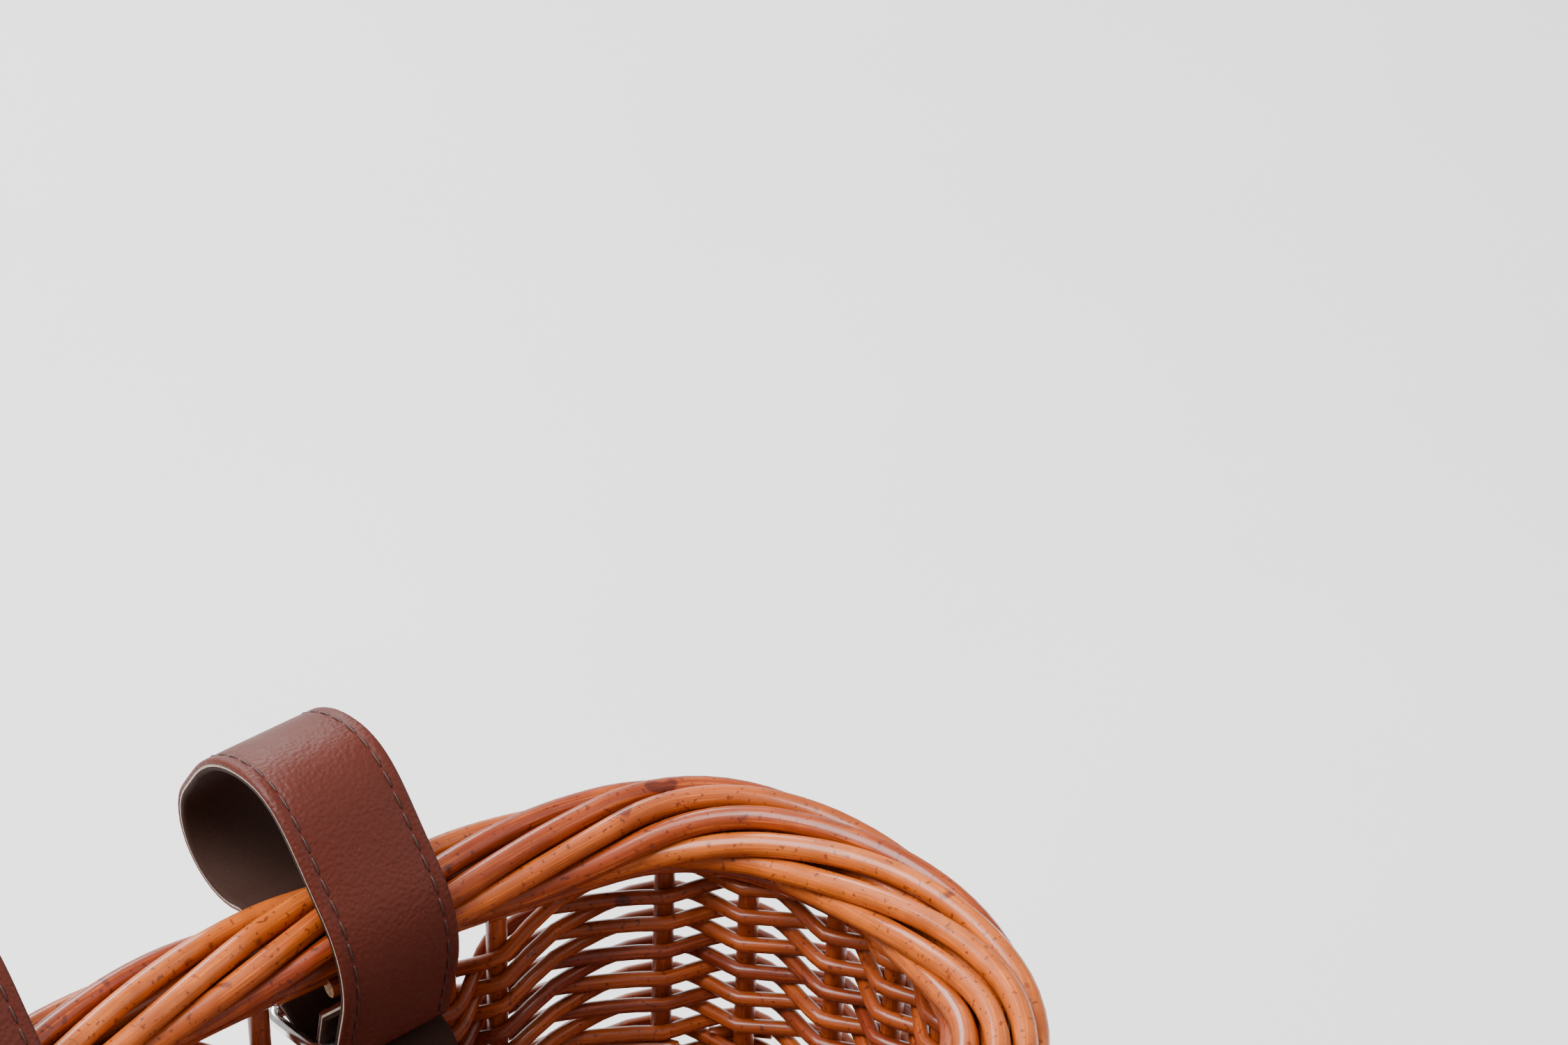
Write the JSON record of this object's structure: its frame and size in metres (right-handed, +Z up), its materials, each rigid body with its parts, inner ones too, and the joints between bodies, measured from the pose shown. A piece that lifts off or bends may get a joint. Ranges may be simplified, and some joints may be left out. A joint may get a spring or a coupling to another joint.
{
  "type": "handlebar basket",
  "caption": "Oval woven willow basket that hangs from a handlebar on leather buckle straps, with a rolled border.",
  "frame": {"origin": "on the axis of the handlebar that the straps hold, half way between the straps", "axes": "+X along the handlebar, -Y towards the front of the bicycle, +Z up"},
  "size_m": [0.2618, 0.1671, 0.1756],
  "materials": {
    "border_willow": "gloss lacquer",
    "weaver_willow": "gloss lacquer",
    "stake_willow": "gloss lacquer",
    "strap_leather": "semi-matte, fine pebble grain",
    "strap_core": "raw cut edge",
    "strap_lining": "smooth",
    "thread": "waxed twist",
    "buckle_metal": "polished"
  },
  "bodies": {
    "basket": {"base_long_sticks": "stake_willow", "base_cross_sticks": "stake_willow", "base_weavers": "weaver_willow", "foot_rods": "weaver_willow", "side_stakes": "stake_willow", "siding_band_1": "weaver_willow", "siding_band_2": "weaver_willow", "siding_band_3": "weaver_willow", "siding_band_4": "weaver_willow", "siding_band_5": "weaver_willow", "siding_band_6": "weaver_willow", "packing_rows": "weaver_willow", "border_core": "border_willow", "border_rod_1": "border_willow", "border_rod_2": "border_willow", "border_rod_3": "border_willow", "border_rod_4": "border_willow", "border_rod_5": "border_willow", "border_rod_6": "border_willow", "border_rod_7": "border_willow"},
    "left_strap": {"left_strap_face": "strap_leather", "left_strap_core": "strap_core", "left_strap_lining": "strap_lining", "left_strap_thread": "thread", "left_buckle_frame": "buckle_metal"},
    "left_buckle_roller": {"left_buckle_roller": "buckle_metal"},
    "left_buckle_tongue": {"left_buckle_tongue": "buckle_metal"},
    "left_keeper": {"left_keeper": "strap_leather"},
    "right_strap": {"right_strap_face": "strap_leather", "right_strap_core": "strap_core", "right_strap_lining": "strap_lining", "right_strap_thread": "thread", "right_buckle_frame": "buckle_metal"},
    "right_buckle_roller": {"right_buckle_roller": "buckle_metal"},
    "right_buckle_tongue": {"right_buckle_tongue": "buckle_metal"},
    "right_keeper": {"right_keeper": "strap_leather"}
  },
  "joints": [
    {"name": "left_strap_slide", "type": "slide", "parent": "basket", "child": "left_strap", "axis": [1, 0, 0], "range_m": [-0.0006, 0.0006]},
    {"name": "left_roller_spin", "type": "hinge", "parent": "left_strap", "child": "left_buckle_roller", "pos_m": [-0.041, -0.01459, -0.02928], "axis": [1, 0, 0], "continuous": true},
    {"name": "left_tongue_swing", "type": "hinge", "parent": "left_strap", "child": "left_buckle_tongue", "pos_m": [-0.041, -0.0315, -0.0275], "axis": [-1, 0, 0], "range_deg": [0, 6]},
    {"name": "left_keeper_slide", "type": "slide", "parent": "left_strap", "child": "left_keeper", "axis": [0, -0.1392, -0.9903], "range_m": [0, 0.014]},
    {"name": "right_strap_slide", "type": "slide", "parent": "basket", "child": "right_strap", "axis": [1, 0, 0], "range_m": [-0.0006, 0.0006]},
    {"name": "right_roller_spin", "type": "hinge", "parent": "right_strap", "child": "right_buckle_roller", "pos_m": [0.041, -0.01459, -0.02928], "axis": [1, 0, 0], "continuous": true},
    {"name": "right_tongue_swing", "type": "hinge", "parent": "right_strap", "child": "right_buckle_tongue", "pos_m": [0.041, -0.0315, -0.0275], "axis": [-1, 0, 0], "range_deg": [0, 6]},
    {"name": "right_keeper_slide", "type": "slide", "parent": "right_strap", "child": "right_keeper", "axis": [0, -0.1392, -0.9903], "range_m": [0, 0.014]}
  ]
}
